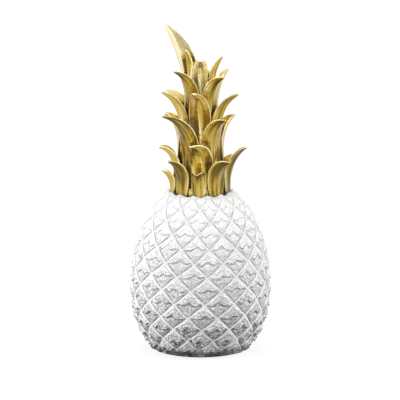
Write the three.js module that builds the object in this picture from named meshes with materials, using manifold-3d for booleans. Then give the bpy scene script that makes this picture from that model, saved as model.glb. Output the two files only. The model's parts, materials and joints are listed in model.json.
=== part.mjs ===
// Pineapple figurine: a hollow white casting with a diamond-scaled skin, closed from below by a plug and a
// felt disc, and a gold crown of separate leaves, each tenoned into a stepped stem that plugs into the casting.
// Millimetres, +Z up. The origin is the centre of the face it rests on, and the front looks along -Y.
import * as THREE from "three";
import { mergeVertices } from "three/addons/utils/BufferGeometryUtils.js";
import Module from "manifold-3d";

const wasm = await Module();
wasm.setup();

const degree = Math.PI / 180;
const fullTurn = 2 * Math.PI;
const frontAngle = -90 * degree; // the front looks along -Y

// Casting: outer shape.
const shoulderLevel = 123; // the rim round the foot of the crown
const widestLevel = 48.3;
const widestRadius = 54; // over the crests of the scales
const shoulderRadius = 25.2;
const baseRadius = 37.5;
const upperBulge = 2.04; // exponents of the two curves that meet at the widest level
const lowerBulge = 2.25;

// Casting: scales.
const scalesRound = 14;
const halfRows = 13;
const footLength = 0.8; // from the resting edge up to the lowest half row, along the skin
const firstRowLength = 6.8; // and up to the row after it, which the resting edge crops
const latticePhase = -2.7 * degree; // from the front, to the right
const latticeTwist = 1.24 * degree; // per half row
const reliefShare = 0.1; // crest above groove, as a share of a scale's width
const rimTipRise = 1; // the top scales' tips stand above the rim, and the dips between them lie below it
const rimDipDrop = 1.2;

// Casting: inside.
const wall = 5;
const cavityFloorLevel = 8.5;
const bossThickness = 5; // casting left under the crown's socket
const feltRadius = 0.88 * baseRadius;
const ledgeRadius = 0.83 * feltRadius; // counterbore that the plug's flange seats in
const openingRadius = 0.84 * ledgeRadius;
const ledgeDepth = 2.4;
const feltThickness = 2;
const feltProud = 0.8; // the felt stands this far below the casting
const plugBossHeight = 4;

// Crown.
const seatGap = 0.3; // glue line on every face that seats on another
const rimThickness = 1.8;
const recessRadius = shoulderRadius - rimThickness;
const recessDepth = 3.5;
const spigotRadius = 0.34 * recessRadius;
const spigotLength = 14;
const crownHeight = 126; // the tallest leaf's tip above the rim
const crownSpread = 1.624 * recessRadius; // the widest leaf tips from the axis
const rodRadius = 2.5;
const rodLength = 0.7 * crownHeight;
const budHeight = 7;

// Leaves.
const leafThickness = 0.094 * recessRadius; // over the keel
const leafEdge = 0.55 * leafThickness;
const tipThicknessShare = 0.55;
const rootCupShare = 0.2; // depth of the channel across a leaf's root, as a share of its width
const tipCupShare = 0.3; // and towards its tip
const keelPower = 1.35; // of the curve across a leaf: 1 is a sharp V, 2 a round channel
const tenonWidth = 0.195 * recessRadius;
const tenonHeight = 5;
const tenonLift = 2; // from the ledge to the underside of the tenon
const tenonDepthShare = 0.26; // of the stem's radius there
const whorlStep = leafThickness + seatGap; // each ledge of the stem is one leaf and one glue line deep

// Each whorl: the height of its ledge up to the next one as a share of the crown's height, the full width of
// its leaves as a share of the recess's radius, and its leaves. A leaf is [degrees from the front, its tip's
// share of the spread and of the height, its share of the full width, sweep of the tip in degrees, lean of
// the tip from upright in degrees, bluntness from 0, a point, to 1, a round end, and a cup of its own, if any].
const whorls = [
  {
    name: "bract",
    ledgeShare: 0.065,
    widthShare: 0.59,
    leafShares: [
      [-80, 0.776, 0.135, 0.86, -2, 60, 0.15],
      [-42, 0.955, 0.221, 0.98, 0, 70, 0.1],
      [-3, 0.88, 0.145, 0.86, -2, 92, 0.9],
      [34, 0.98, 0.217, 1.12, 3, 82, 0.4],
      [76, 0.925, 0.276, 1.02, 5, 56, 0.15],
      [121, 0.84, 0.19, 1, 0, 72, 0.3],
      [158, 0.95, 0.225, 0.96, 0, 78, 0.3],
      [-162, 0.92, 0.2, 1, 0, 74, 0.3],
      [-122, 0.76, 0.165, 0.94, -6, 70, 0.3],
    ],
  },
  {
    name: "low_leaf",
    ledgeShare: 0.08,
    widthShare: 0.833,
    leafShares: [
      [6, 0.95, 0.322, 0.94, -19, 80, 0.05],
      [-82, 0.835, 0.273, 0.87, -2, 76, 0.1],
      [146, 0.88, 0.3, 0.95, 4, 76, 0.2],
      [-148, 0.88, 0.29, 0.95, -6, 78, 0.2],
    ],
  },
  {
    name: "broad_leaf",
    ledgeShare: 0.159,
    widthShare: 0.812,
    leafShares: [
      [-31, 1, 0.493, 0.88, -18, 72, 0.05],
      [33, 0.87, 0.472, 0.9, 1, 70, 0.35],
      [108, 0.745, 0.448, 0.9, 4, 62, 0.2],
      [177, 0.87, 0.47, 0.95, 0, 74, 0.2],
      [-116, 0.75, 0.46, 0.85, 8, 66, 0.2],
    ],
  },
  {
    name: "middle_leaf",
    ledgeShare: 0.159,
    widthShare: 0.744,
    leafShares: [
      [0, 0.84, 0.64, 0.97, -10, 62, 0],
      [-74, 0.837, 0.622, 0.86, 7, 62, 0.05],
      [-137, 0.913, 0.582, 0.88, 6, 72, 0.1],
      [71, 0.789, 0.604, 0.89, 1, 62, 0.1],
      [150, 0.7, 0.56, 0.86, 6, 66, 0.2],
    ],
  },
  {
    name: "upper_leaf",
    ledgeShare: 0.143,
    widthShare: 0.6,
    leafShares: [
      [-36, 0.79, 0.762, 0.98, -6, 66, 0.05],
      [36, 0.763, 0.727, 0.96, 2, 70, 0.35],
      [99.5, 0.624, 0.728, 0.78, 18, 58, 0.4],
      [158, 0.7, 0.706, 0.74, 0, 66, 0.2],
      [-126, 0.756, 0.999, 1.27, 20, 28, 0.1, 0.46],
    ],
  },
  {
    name: "inner_leaf",
    ledgeShare: 0.115,
    widthShare: 0.513,
    leafShares: [
      [0, 0.5, 0.822, 0.92, 0, 50, 1],
      [-69, 0.345, 0.872, 0.71, 12, 24, 0.05],
      [68, 0.463, 0.831, 0.66, 0, 36, 0.4],
      [176, 0.34, 0.754, 0.8, 0, 40, 0.2],
      [-124, 0.28, 0.722, 0.64, 0, 34, 0.2],
    ],
  },
];

// Faces per shape.
const latheSides = 32;
const feltSides = 48;
const cavitySides = 24;
const cavitySteps = 6;
const domeSteps = 3;
const profileSamples = 400;
const leafStepLength = 6.5; // along a leaf
const acrossShares = [-1, -0.5, 0, 0.5, 1]; // points across a leaf
const overrun = 1; // cutters run this far past the face that they open

const white = new THREE.MeshStandardMaterial({ color: 0xf1f1ef, roughness: 0.55, metalness: 0 });
const gold = new THREE.MeshStandardMaterial({ color: 0xb8923f, roughness: 0.32, metalness: 1 });
const resin = new THREE.MeshStandardMaterial({ color: 0xd8d5cc, roughness: 0.7, metalness: 0 });
const felt = new THREE.MeshStandardMaterial({ color: 0x2b2b2d, roughness: 0.95, metalness: 0 });
const steel = new THREE.MeshStandardMaterial({ color: 0x9c9fa3, roughness: 0.35, metalness: 1 });

const part = new THREE.Group();

// Solids and meshes.

function solidOf(geometry) {
  const bare = geometry.clone();
  bare.deleteAttribute("normal");
  bare.deleteAttribute("uv");
  const merged = mergeVertices(bare, 1e-4);
  const corners = [];
  for (let i = 0; i < merged.index.count; i += 3) {
    const [a, b, c] = [0, 1, 2].map((k) => merged.index.getX(i + k));
    if (a !== b && b !== c && c !== a) corners.push(a, b, c);
  }
  const vertProperties = new Float32Array(merged.attributes.position.array);
  return new wasm.Manifold(new wasm.Mesh({ numProp: 3, vertProperties, triVerts: new Uint32Array(corners) }));
}

function geometryOf(solid) {
  const { vertProperties, triVerts, numProp, numVert } = solid.getMesh();
  const places = new Float32Array(numVert * 3);
  for (let i = 0; i < numVert; i++) places.set(vertProperties.subarray(i * numProp, i * numProp + 3), i * 3);
  const indexed = new THREE.BufferGeometry();
  indexed.setAttribute("position", new THREE.BufferAttribute(places, 3));
  indexed.setIndex(new THREE.BufferAttribute(triVerts, 1));
  const flat = indexed.toNonIndexed();
  flat.computeVertexNormals();
  return flat;
}

function addPiece(name, solid, material) {
  const mesh = new THREE.Mesh(geometryOf(solid), material);
  mesh.name = name;
  part.add(mesh);
}

function indexedGeometry(points, faces) {
  const geometry = new THREE.BufferGeometry();
  const places = points.flatMap((p) => [p.x, p.y, p.z]);
  geometry.setAttribute("position", new THREE.Float32BufferAttribute(places, 3));
  geometry.setIndex(faces.flat());
  return geometry;
}

// A turned solid from [radius, level] points, listed up the outside from the axis to the axis.
function turned(outline, sides) {
  const points = outline.map(([radius, level]) => new THREE.Vector2(radius, level));
  return solidOf(new THREE.LatheGeometry(points, sides).rotateX(Math.PI / 2));
}

function cylinder(radius, lowLevel, highLevel, sides = latheSides) {
  return turned([[0, lowLevel], [radius, lowLevel], [radius, highLevel], [0, highLevel]], sides);
}

// Casting profile: two superellipses that meet at the widest level, each ending at a stated radius.

function curveReach(endShare, bulge) {
  return (1 - endShare ** bulge) ** (-1 / bulge);
}

function crestRadius(level) {
  const above = level > widestLevel;
  const bulge = above ? upperBulge : lowerBulge;
  const span = above ? shoulderLevel - widestLevel : widestLevel - feltProud;
  const endShare = (above ? shoulderRadius : baseRadius) / widestRadius;
  const away = Math.abs(level - widestLevel) / span / curveReach(endShare, bulge);
  return widestRadius * (1 - away ** bulge) ** (1 / bulge);
}

// The profile measured along its own length from the resting edge.
const profile = Array.from({ length: profileSamples + 1 }, (_, i) => {
  const level = feltProud + ((shoulderLevel - feltProud) * i) / profileSamples;
  return { radius: crestRadius(level), level, arc: 0 };
});
profile.forEach((here, i) => {
  if (i === 0) return;
  const before = profile[i - 1];
  here.arc = before.arc + Math.hypot(here.radius - before.radius, here.level - before.level);
});
const profileLength = profile[profileSamples].arc;

function profileAt(arc) {
  const i = Math.min(profile.findIndex((p) => p.arc >= arc) - 1, profileSamples - 1);
  const low = profile[Math.max(i, 0)];
  const high = profile[Math.max(i, 0) + 1];
  const share = (arc - low.arc) / (high.arc - low.arc);
  const run = high.radius - low.radius;
  const rise = high.level - low.level;
  const length = Math.hypot(run, rise);
  return {
    radius: low.radius + share * run,
    level: low.level + share * rise,
    outward: rise / length,
    upward: -run / length,
  };
}

// Scales: lattice points lie on a ring and a column, and every other ring is half a column round.

const rowPitch = (profileLength - firstRowLength) / (halfRows - 1);
const columnPitch = fullTurn / scalesRound;

function arcOf(ring) {
  if (ring < 1) return THREE.MathUtils.lerp(footLength, firstRowLength, ring);
  return firstRowLength + rowPitch * (ring - 1);
}

function skinPoint(ring, column, liftShare, levelShift = 0) {
  const at = profileAt(Math.min(arcOf(ring), profileLength));
  const relief = reliefShare * columnPitch * at.radius;
  const sink = relief * (liftShare - 1);
  const radius = at.radius + sink * at.outward;
  const angle = frontAngle + latticePhase + latticeTwist * ring + columnPitch * column;
  const level = at.level + sink * at.upward + levelShift;
  return new THREE.Vector3(radius * Math.cos(angle), radius * Math.sin(angle), level);
}

// Points of one scale: [across, up, lift share]. Across and up run from -1 to 1 between its corners.
const inset = 0.72;
const scaleShares = {
  east: [1, 0, 0], northEast: [0.5, 0.5, 0], north: [0, 1, 0], northWest: [-0.5, 0.5, 0],
  west: [-1, 0, 0], southWest: [-0.5, -0.5, 0], south: [0, -1, 0], southEast: [0.5, -0.5, 0],
  padEast: [inset, 0, 0.62], padNorthEast: [inset / 2, inset / 2, 0.62], padNorth: [0, inset, 0.5],
  padNorthWest: [-inset / 2, inset / 2, 0.62], padWest: [-inset, 0, 0.62],
  padSouthWest: [-inset / 2, -inset / 2, 0.66], padSouth: [0, -inset, 0.5],
  padSouthEast: [inset / 2, -inset / 2, 0.66],
  lipEast: [0.4, -0.04, 0.96], lipMiddle: [0, 0.14, 1], lipWest: [-0.4, -0.04, 0.96], middle: [0, 0, 0.9],
};

const upperBand = [
  ["east", "northEast", "padEast"], ["northEast", "padNorthEast", "padEast"],
  ["northEast", "north", "padNorthEast"], ["north", "padNorth", "padNorthEast"],
  ["north", "northWest", "padNorth"], ["northWest", "padNorthWest", "padNorth"],
  ["northWest", "west", "padNorthWest"], ["west", "padWest", "padNorthWest"],
];
const lowerBand = [
  ["west", "southWest", "padWest"], ["southWest", "padSouthWest", "padWest"],
  ["southWest", "south", "padSouthWest"], ["south", "padSouth", "padSouthWest"],
  ["south", "southEast", "padSouth"], ["southEast", "padSouthEast", "padSouth"],
  ["southEast", "east", "padSouthEast"], ["east", "padEast", "padSouthEast"],
];
const wholePad = [
  ["padEast", "padNorthEast", "lipEast"], ["padNorthEast", "lipMiddle", "lipEast"],
  ["padNorthEast", "padNorth", "lipMiddle"], ["padNorth", "padNorthWest", "lipMiddle"],
  ["padNorthWest", "lipWest", "lipMiddle"], ["padNorthWest", "padWest", "lipWest"],
  ["padWest", "padSouthWest", "lipWest"], ["padSouthWest", "lipMiddle", "lipWest"],
  ["padSouthWest", "padSouth", "lipMiddle"], ["padSouth", "padSouthEast", "lipMiddle"],
  ["padSouthEast", "lipEast", "lipMiddle"], ["padSouthEast", "padEast", "lipEast"],
];
const upperPad = [
  ["padEast", "padNorthEast", "middle"], ["padNorthEast", "padNorth", "middle"],
  ["padNorth", "padNorthWest", "middle"], ["padNorthWest", "padWest", "middle"],
];
const lowerPad = [
  ["padWest", "padSouthWest", "middle"], ["padSouthWest", "padSouth", "middle"],
  ["padSouth", "padSouthEast", "middle"], ["padSouthEast", "padEast", "middle"],
];
const openEdge = ["west", "padWest", "middle", "padEast"]; // along the middle of a half scale, west to east
const rimShifts = { middle: -rimDipDrop, padEast: -rimDipDrop / 2, padWest: -rimDipDrop / 2 };

function skinSolid() {
  const points = [];
  const faces = [];
  const places = new Map();
  const push = (key, point) => {
    if (!places.has(key)) places.set(key, points.push(point) - 1);
    return places.get(key);
  };
  const corner = (ring, column, name) => {
    const [across, up, lift] = scaleShares[name];
    const [onRing, onColumn] = [ring + up, column + across / 2];
    const wrapped = ((onColumn % scalesRound) + scalesRound) % scalesRound;
    const shift = onRing === halfRows ? (rimShifts[name] ?? rimTipRise) : 0;
    return push(`${onRing.toFixed(3)} ${wrapped.toFixed(3)}`, skinPoint(onRing, onColumn, lift, shift));
  };
  for (let ring = 0; ring <= halfRows; ring++) {
    const pattern = ring === 0 ? [...upperBand, ...upperPad]
      : ring === halfRows ? [...lowerBand, ...lowerPad] : [...upperBand, ...lowerBand, ...wholePad];
    for (let place = 0; place < scalesRound; place++) {
      const column = place + (ring % 2) / 2;
      pattern.forEach((names) => faces.push(names.map((name) => corner(ring, column, name))));
    }
  }
  const crownCentre = push("crown centre", new THREE.Vector3(0, 0, shoulderLevel - rimDipDrop));
  const baseCentre = push("base centre", new THREE.Vector3(0, 0, feltProud));
  const rim = [];
  const foot = [];
  for (let place = 0; place < scalesRound; place++)
    openEdge.forEach((name) => {
      rim.push(corner(halfRows, place + (halfRows % 2) / 2, name));
      foot.push(corner(0, place, name));
    });
  const edge = foot.map((index, i) => {
    const above = points[index];
    const angle = Math.atan2(above.y, above.x);
    const radius = Math.min(baseRadius, Math.hypot(above.x, above.y)) - seatGap;
    return push(`edge ${i}`, new THREE.Vector3(radius * Math.cos(angle), radius * Math.sin(angle), feltProud));
  });
  rim.forEach((here, i) => {
    const next = (i + 1) % rim.length;
    faces.push([here, rim[next], crownCentre]);
    faces.push([foot[i], edge[i], foot[next]], [foot[next], edge[i], edge[next]]);
    faces.push([edge[next], edge[i], baseCentre]);
  });
  return solidOf(indexedGeometry(points, faces));
}

// The casting is the skin less its cavity, its stepped opening below and the crown's recess and socket above.

const recessLevel = shoulderLevel - recessDepth;
const spigotFoot = recessLevel + seatGap - spigotLength;
const socketLevel = spigotFoot - seatGap;
const feltTop = feltThickness;
const ledgeLevel = feltTop + seatGap + ledgeDepth;

function cavitySolid() {
  const roofLevel = socketLevel - bossThickness;
  const thickness = (radius) => wall + reliefShare * columnPitch * radius;
  const inner = (level) => crestRadius(level) - thickness(crestRadius(level));
  const springLevel = roofLevel - (roofLevel - widestLevel) / 3;
  const sides = Array.from({ length: cavitySteps + 1 }, (_, i) => {
    const level = cavityFloorLevel + ((springLevel - cavityFloorLevel) * i) / cavitySteps;
    return [inner(level), level];
  });
  const dome = Array.from({ length: domeSteps }, (_, i) => {
    const turn = (Math.PI / 2) * ((i + 1) / domeSteps);
    const level = springLevel + (roofLevel - springLevel) * Math.sin(turn);
    return [i === domeSteps - 1 ? 0 : inner(springLevel) * Math.cos(turn), level];
  });
  return turned([[0, cavityFloorLevel], ...sides, ...dome], cavitySides);
}

function castingSolid() {
  return [
    cavitySolid(),
    cylinder(openingRadius + seatGap, feltProud - overrun, cavityFloorLevel + overrun),
    cylinder(ledgeRadius + seatGap, feltProud - overrun, ledgeLevel),
    cylinder(feltRadius + seatGap, feltProud - overrun, feltTop + seatGap),
    cylinder(recessRadius, recessLevel, shoulderLevel + rimTipRise + overrun, scalesRound * 4),
    cylinder(spigotRadius + seatGap, socketLevel, recessLevel + overrun),
  ].reduce((solid, cutter) => solid.subtract(cutter), skinSolid());
}

function plugSolid() {
  const flangeLow = feltTop + seatGap;
  const flangeHigh = ledgeLevel - seatGap;
  return turned([
    [0, flangeLow], [ledgeRadius, flangeLow], [ledgeRadius, flangeHigh], [openingRadius, flangeHigh],
    [openingRadius, flangeHigh + plugBossHeight], [0, flangeHigh + plugBossHeight],
  ], latheSides);
}

addPiece("body_casting", castingSolid(), white);
addPiece("base_plug", plugSolid(), resin);
addPiece("base_felt", cylinder(feltRadius, 0, feltThickness, feltSides), felt);

// Stem: one step per whorl, the widest at the foot, with a mortise for every leaf and a bore for the rod.

const stemFoot = recessLevel + seatGap;
const footRadius = recessRadius - seatGap - whorlStep;
whorls.forEach((whorl, i) => {
  whorl.ledgeLevel = i === 0 ? stemFoot : whorls[i - 1].topLevel;
  whorl.topLevel = whorl.ledgeLevel + whorl.ledgeShare * crownHeight;
  whorl.stemRadius = footRadius - i * whorlStep;
  whorl.bedRadius = whorl.stemRadius + seatGap; // where its leaves' inner faces lie
});
const stemTop = whorls.at(-1).topLevel;
const rodFoot = spigotFoot + seatGap;

// A block on a leaf's root, grown by a clearance for the mortise that takes it.
function tenonSolid(whorl, azimuth, clearance) {
  const depth = tenonDepthShare * whorl.stemRadius;
  const inner = whorl.stemRadius - depth - clearance;
  const outer = whorl.stemRadius + (clearance ? overrun : seatGap + leafEdge / 2);
  const box = new THREE.BoxGeometry(outer - inner, tenonWidth + 2 * clearance, tenonHeight + 2 * clearance);
  box.translate((outer + inner) / 2, 0, whorl.ledgeLevel + tenonLift + seatGap + tenonHeight / 2);
  return solidOf(box.rotateZ(frontAngle + azimuth));
}

function stemSolid() {
  const steps = whorls.flatMap((whorl) => [
    [whorl.stemRadius, whorl.ledgeLevel],
    [whorl.stemRadius, whorl.topLevel],
  ]);
  const bud = Array.from({ length: domeSteps }, (_, i) => {
    const share = (i + 1) / domeSteps;
    const radius = i === domeSteps - 1 ? 0 : whorls.at(-1).stemRadius * Math.sqrt(1 - share ** 2);
    return [radius, stemTop + budHeight * share];
  });
  const outline = [[0, spigotFoot], [spigotRadius, spigotFoot], [spigotRadius, stemFoot], ...steps, ...bud];
  const boreTop = rodFoot + rodLength + seatGap;
  const cutters = [cylinder(rodRadius + seatGap, spigotFoot - overrun, boreTop, latheSides / 2)];
  whorls.forEach((whorl) =>
    whorl.leafShares.forEach(([azimuth]) => cutters.push(tenonSolid(whorl, azimuth * degree, seatGap))),
  );
  return cutters.reduce((solid, cutter) => solid.subtract(cutter), turned(outline, latheSides));
}

addPiece("crown_stem", stemSolid(), gold);
addPiece("crown_rod", cylinder(rodRadius, rodFoot, rodFoot + rodLength, latheSides / 2), steel);

// Leaves: each follows a curve in its own upright plane, from its ledge to its tip, and is a channel across.

const rootHandleShare = 0.34; // of the leaf's rise: how long it stays against the stem
const tipHandleShare = 0.42; // of the leaf's reach: how long it runs straight into its tip
const rootWidthShare = 0.7;
const broadestShare = 0.45; // how far along a leaf is broadest
const tipWidthShare = 0.07;

function leafWidthShare(along, bluntness) {
  if (along < broadestShare) {
    const grown = Math.sin((Math.PI / 2) * (along / broadestShare));
    return rootWidthShare + (1 - rootWidthShare) * grown;
  }
  const left = 1 - ((along - broadestShare) / (1 - broadestShare)) ** (2.1 + bluntness);
  return Math.max(left ** (0.85 - 0.4 * bluntness), tipWidthShare * (1 + 2 * bluntness));
}

function leafCurve(whorl, reach, rise, lean) {
  const foot = new THREE.Vector2(whorl.bedRadius, whorl.ledgeLevel + seatGap);
  const tip = new THREE.Vector2(reach, rise);
  const longest = (tip.x - foot.x) / Math.sin(lean); // a longer one would carry the leaf into the stem
  const tipHandle = Math.min(tipHandleShare * Math.hypot(tip.x - foot.x, tip.y - foot.y), longest);
  return new THREE.CubicBezierCurve(
    foot,
    new THREE.Vector2(foot.x, foot.y + rootHandleShare * (tip.y - foot.y)),
    new THREE.Vector2(tip.x - tipHandle * Math.sin(lean), tip.y - tipHandle * Math.cos(lean)),
    tip,
  );
}

function leafSolid(whorl, shares) {
  const [azimuth, reachShare, riseShare, widthShare, sweep, lean, bluntness, cupShare = tipCupShare] = shares;
  const rise = shoulderLevel + riseShare * crownHeight;
  const curve = leafCurve(whorl, reachShare * crownSpread, rise, lean * degree);
  const leafSteps = Math.ceil(curve.getLength() / leafStepLength);
  const points = [];
  const faces = [];
  for (let step = 0; step <= leafSteps; step++) {
    const along = step / leafSteps;
    const at = curve.getPoint(along);
    const tangent = curve.getTangent(along);
    const angle = frontAngle + (azimuth + sweep * along ** 2) * degree;
    const outward = new THREE.Vector3(Math.cos(angle), Math.sin(angle), 0);
    const sideways = new THREE.Vector3(-Math.sin(angle), Math.cos(angle), 0);
    const normal = outward.clone().multiplyScalar(tangent.y).setZ(-tangent.x);
    const centre = outward.clone().multiplyScalar(at.x).setZ(at.y);
    const half = (recessRadius * whorl.widthShare * widthShare * leafWidthShare(along, bluntness)) / 2;
    const thinning = THREE.MathUtils.lerp(1, tipThicknessShare, along ** 2);
    const cup = THREE.MathUtils.lerp(rootCupShare, cupShare, along);
    const ring = (across, lifted) => {
      const thickness = leafEdge + (leafThickness - leafEdge) * (1 - Math.abs(across)) ** 0.7;
      const wrapped = at.x - Math.sqrt(whorl.bedRadius ** 2 - (across * half) ** 2); // round the stem
      const cupped = 2 * half * cup * Math.abs(across) ** keelPower;
      const depth = Math.min(wrapped, cupped) - (lifted ? thickness * thinning : 0);
      return centre.clone().addScaledVector(sideways, across * half).addScaledVector(normal, -depth);
    };
    acrossShares.forEach((across) => points.push(ring(across, true)));
    acrossShares.toReversed().forEach((across) => points.push(ring(across, false)));
  }
  const round = 2 * acrossShares.length;
  for (let step = 0; step < leafSteps; step++)
    for (let i = 0; i < round; i++) {
      const [low, lowNext] = [step * round + i, step * round + ((i + 1) % round)];
      faces.push([low, lowNext, low + round], [lowNext, lowNext + round, low + round]);
    }
  const last = leafSteps * round;
  for (let i = 0; i < acrossShares.length - 1; i++) {
    const opposite = round - 1 - i;
    faces.push([i, opposite, i + 1], [i + 1, opposite, opposite - 1]);
    faces.push([last + i, last + i + 1, last + opposite], [last + i + 1, last + opposite - 1, last + opposite]);
  }
  return solidOf(indexedGeometry(points, faces)).add(tenonSolid(whorl, azimuth * degree, 0));
}

whorls.forEach((whorl) =>
  whorl.leafShares.forEach((shares, i) => addPiece(`${whorl.name}_${i + 1}`, leafSolid(whorl, shares), gold)),
);

export default part;
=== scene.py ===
"""Pineapple figurine: a white casting with a skin of diamond scales under a crown of gilded leaves.

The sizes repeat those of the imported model, in millimetres unless a name or a docstring says otherwise. Every
mesh is made in metres in the model's frame.
"""

import json
import logging
import math
import random
from dataclasses import dataclass
from enum import Enum
from types import SimpleNamespace
from typing import Callable, Iterable, Sequence

import bmesh
import bpy
import numpy as np
from bmesh.types import BMesh, BMVert
from bpy.types import ID, Material, Mesh, Node, NodeSocket, NodeTree, Object
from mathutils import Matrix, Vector

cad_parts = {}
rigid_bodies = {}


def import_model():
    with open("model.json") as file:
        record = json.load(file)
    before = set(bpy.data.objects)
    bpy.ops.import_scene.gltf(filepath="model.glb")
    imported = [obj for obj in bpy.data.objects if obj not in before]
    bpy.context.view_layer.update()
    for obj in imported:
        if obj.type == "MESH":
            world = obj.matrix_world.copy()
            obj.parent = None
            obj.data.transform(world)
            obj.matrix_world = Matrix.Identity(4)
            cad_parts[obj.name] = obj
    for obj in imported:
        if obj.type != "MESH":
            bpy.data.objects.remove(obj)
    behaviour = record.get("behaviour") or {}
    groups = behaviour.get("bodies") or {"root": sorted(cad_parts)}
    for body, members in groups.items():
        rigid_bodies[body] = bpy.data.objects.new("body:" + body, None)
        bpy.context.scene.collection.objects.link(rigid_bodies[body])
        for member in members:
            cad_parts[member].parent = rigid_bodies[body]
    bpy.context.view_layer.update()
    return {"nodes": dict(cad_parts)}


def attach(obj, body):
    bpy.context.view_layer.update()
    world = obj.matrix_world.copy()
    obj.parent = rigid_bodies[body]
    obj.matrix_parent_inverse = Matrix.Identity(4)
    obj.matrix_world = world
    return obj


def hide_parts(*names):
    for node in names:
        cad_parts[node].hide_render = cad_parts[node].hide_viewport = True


MM = 0.001
FRONT = -90.0  # degrees: the front looks along -Y
ROOT_BODY = "root"
LOG = logging.getLogger("pineapple")

Colour = tuple[float, float, float]
Span = tuple[float, float]
Array = np.ndarray


# Node trees


def math_method(operation: str, swapped: bool = False) -> Callable[["Signal", "Signal | float"], "Signal"]:
    """Makes an arithmetic method of Signal.

    Args:
        operation: What its Math node does.
        swapped: Whether the other value comes first.

    Returns:
        The method.
    """

    def method(signal: "Signal", other: "Signal | float") -> "Signal":
        """The result of a Math node with the two values."""
        return signal.bench.math(operation, *((other, signal) if swapped else (signal, other)))

    return method


@dataclass(frozen=True)
class Signal:
    """A socket of a node tree that can stand in a sum, each step of which adds a Math node."""

    bench: "Bench"
    socket: NodeSocket

    __add__ = math_method("ADD")
    __radd__ = math_method("ADD", swapped=True)
    __sub__ = math_method("SUBTRACT")
    __rsub__ = math_method("SUBTRACT", swapped=True)
    __mul__ = math_method("MULTIPLY")
    __rmul__ = math_method("MULTIPLY", swapped=True)
    __truediv__ = math_method("DIVIDE")
    __pow__ = math_method("POWER")

    def size(self) -> "Signal":
        """The value without its sign."""
        return self.bench.math("ABSOLUTE", self)

    def step(self, low: float, high: float) -> "Signal":
        """A smooth rise from 0 at low to 1 at high."""
        return self.spread((low, high), (0.0, 1.0), "SMOOTHSTEP")

    def spread(self, given: Span, wanted: Span, slope: str = "LINEAR") -> "Signal":
        """The value mapped from one range to another and held there, along a named kind of slope."""
        node = self.bench.add("ShaderNodeMapRange", interpolation_type=slope, clamp=True)
        return self.bench.fill(node, self, *given, *wanted)


@dataclass(frozen=True)
class Bench:
    """Adds and joins the nodes of one tree."""

    tree: NodeTree

    def add(self, kind: str, **settings: object) -> Node:
        """Adds a node and sets its properties.

        Args:
            kind: The node's type.
            **settings: Its properties by name.

        Returns:
            The node.
        """
        node = self.tree.nodes.new(kind)
        for name, value in settings.items():
            setattr(node, name, value)
        return node

    def feed(self, socket: NodeSocket, value: object) -> None:
        """Joins a signal or a socket to an input, or writes a plain value there.

        Args:
            socket: The input.
            value: A Signal, an output socket or the input's own value.
        """
        if isinstance(value, Signal):
            value = value.socket
        if isinstance(value, NodeSocket):
            self.tree.links.new(value, socket)
        else:
            socket.default_value = value

    def wire(self, node: Node, **values: object) -> Signal:
        """Feeds a node's inputs by name.

        Args:
            node: The node.
            **values: What each input gets, named as in the node with underscores for spaces.

        Returns:
            Its first output.
        """
        for name, value in values.items():
            self.feed(node.inputs[name.replace("_", " ")], value)
        return Signal(self, node.outputs[0])

    def fill(self, node: Node, *values: object) -> Signal:
        """Feeds a node's inputs in order.

        Args:
            node: The node.
            *values: What its inputs get, from the first.

        Returns:
            Its first output.
        """
        for socket, value in zip(node.inputs, values):
            self.feed(socket, value)
        return Signal(self, node.outputs[0])

    def run(self, kind: str, **values: object) -> Signal:
        """Adds a node with its inputs, named as for wire, and gives its first output."""
        return self.wire(self.add(kind), **values)

    def math(self, operation: str, *values: "Signal | float") -> Signal:
        """The result of a Math node."""
        return self.fill(self.add("ShaderNodeMath", operation=operation), *values)

    def combine(self, x: object, y: object, z: object) -> Signal:
        """A vector from three values."""
        return self.fill(self.add("ShaderNodeCombineXYZ"), x, y, z)

    def split(self, vector: object) -> tuple[Signal, Signal, Signal]:
        """The three values of a vector."""
        first = self.run("ShaderNodeSeparateXYZ", Vector=vector)
        return tuple(Signal(self, out) for out in first.socket.node.outputs)

    def noise(self, place: object, scale: float, detail: float = 2.0, roughness: float = 0.5) -> Signal:
        """The value of a Noise Texture."""
        return self.run("ShaderNodeTexNoise", Vector=place, Scale=scale, Detail=detail, Roughness=roughness)

    def cracks(self, place: object, scale: float, width: float) -> Signal:
        """Lines of 0 where a noise crosses its middle, which rise to 1 beside them."""
        return (self.noise(place, scale) - 0.5).size().step(0.0, width)

    def place(self) -> Signal:
        """The place on the object, in metres."""
        return Signal(self, self.add("ShaderNodeTexCoord").outputs["Object"])

    def held(self, name: str, output: str = "Vector") -> Signal:
        """What the mesh holds under a name: a vector or, from the output Fac, a number."""
        return Signal(self, self.add("ShaderNodeAttribute", attribute_name=name).outputs[output])

    def mix(self, share: object, low: object, high: object) -> Signal:
        """Mixes two colours.

        Args:
            share: How much of the second colour there is.
            low: The colour at 0.
            high: The colour at 1.

        Returns:
            The mixed colour.
        """
        node = self.add("ShaderNodeMix", data_type="RGBA", clamp_factor=True)
        for number, value in ((0, share), (6, low), (7, high)):
            self.feed(node.inputs[number], (*value, 1.0) if isinstance(value, tuple) else value)
        return Signal(self, node.outputs[2])

    def bump(self, height: Signal, depth_mm: float, strength: float = 1.0) -> Signal:
        """The normal, bent by a height that stands for some millimetres at 1."""
        return self.run("ShaderNodeBump", Height=height, Distance=depth_mm * MM, Strength=strength)


# Finishes


def shader_bench(name: str) -> tuple[Material, Bench, Node]:
    """Starts a material.

    Args:
        name: The material's name.

    Returns:
        The material, the bench of its tree and its Principled shader.
    """
    material = bpy.data.materials.new(name)
    material.use_nodes = True
    shader = next(n for n in material.node_tree.nodes if n.type == "BSDF_PRINCIPLED")
    return material, Bench(material.node_tree), shader


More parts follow.
